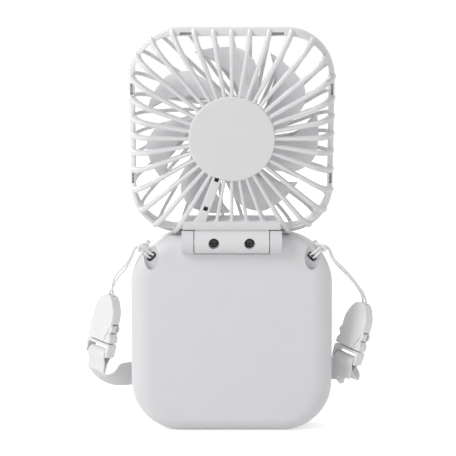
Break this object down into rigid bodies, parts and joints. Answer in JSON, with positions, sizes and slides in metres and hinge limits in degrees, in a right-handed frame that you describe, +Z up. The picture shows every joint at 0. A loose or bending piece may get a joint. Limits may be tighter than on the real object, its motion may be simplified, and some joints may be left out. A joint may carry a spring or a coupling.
{
  "type": "folding handheld fan",
  "caption": "Square folding handheld fan, opened: rechargeable body, ribbed fan head on a barrel hinge, and a hand strap on small side-release buckles.",
  "frame": {"origin": "middle of the flat base that the body stands on", "axes": "+Z up, +X to the right for someone who looks at the back of the fan, +Y from the back, where air goes in, to the front"},
  "size_m": [0.118, 0.0421, 0.1644],
  "materials": {
    "white_shell": "fine satin white",
    "white_head": "fine satin white",
    "white_blade": "satin pale grey",
    "white_buckle": "smooth white",
    "white_cord": "thin braided cord",
    "white_ribbon": "woven ribbon",
    "black_screw": "black oxide",
    "steel": "plain",
    "magnet": "dark sintered",
    "copper": "enamelled copper wire",
    "grey_sleeve": "dull friction sleeve",
    "board_green": "solder mask",
    "dark_part": "dull black",
    "red_lead": "wire insulation",
    "cell_wrap": null,
    "lens": "clear diffusing"
  },
  "bodies": {
    "body": {"body_back_shell": "white_shell", "body_front_shell": "white_shell", "push_switch": "dark_part", "circuit_board": "board_green", "charge_chip": "dark_part", "inductor": "dark_part", "light_bar": "lens", "usb_c_port": "steel", "indicator_lens": "lens", "battery_cell": "cell_wrap", "battery_lead_plus": "red_lead", "battery_lead_minus": "dark_part", "hinge_lead_left": "dark_part", "hinge_lead_right": "red_lead", "board_screw_1": "steel", "board_screw_2": "steel", "hinge_pin_left": "steel", "hinge_pin_right": "steel", "left_cord_loop": "white_cord", "right_cord_loop": "white_cord", "left_buckle_socket": "white_buckle", "left_buckle_clip": "white_buckle", "right_buckle_socket": "white_buckle", "right_buckle_clip": "white_buckle", "strap_ribbon": "white_ribbon"},
    "head": {"head_back_grille": "white_head", "head_front_grille": "white_head", "hinge_cover": "white_head", "hinge_screw_left": "black_screw", "hinge_screw_right": "black_screw", "hinge_sleeve_left": "grey_sleeve", "hinge_sleeve_right": "grey_sleeve", "wire_channel_cover": "white_head", "motor_lead_left": "dark_part", "motor_lead_right": "dark_part", "motor_base": "white_head", "motor_screw_1": "steel", "motor_screw_2": "steel", "motor_screw_3": "steel", "stator_core": "steel", "stator_winding": "copper", "bearing_back": "steel", "bearing_front": "steel"},
    "rotor": {"motor_shaft": "steel", "rotor_bell": "steel", "magnet_ring": "magnet", "impeller": "white_blade"},
    "button": {"power_button": "white_shell"}
  },
  "joints": [
    {"name": "head_fold", "type": "hinge", "parent": "body", "child": "head", "pos_m": [0, -0.0134, 0.0783], "axis": [1, 0, 0], "range_deg": [0, 170]},
    {"name": "impeller_spin", "type": "hinge", "parent": "head", "child": "rotor", "pos_m": [0, -0.02075, 0.11996], "axis": [0, 0.9848, 0.1736], "continuous": true},
    {"name": "power_button_press", "type": "slide", "parent": "body", "child": "button", "axis": [0, -1, 0], "range_m": [0, 0.0003], "stiffness_N_per_m": 300}
  ]
}
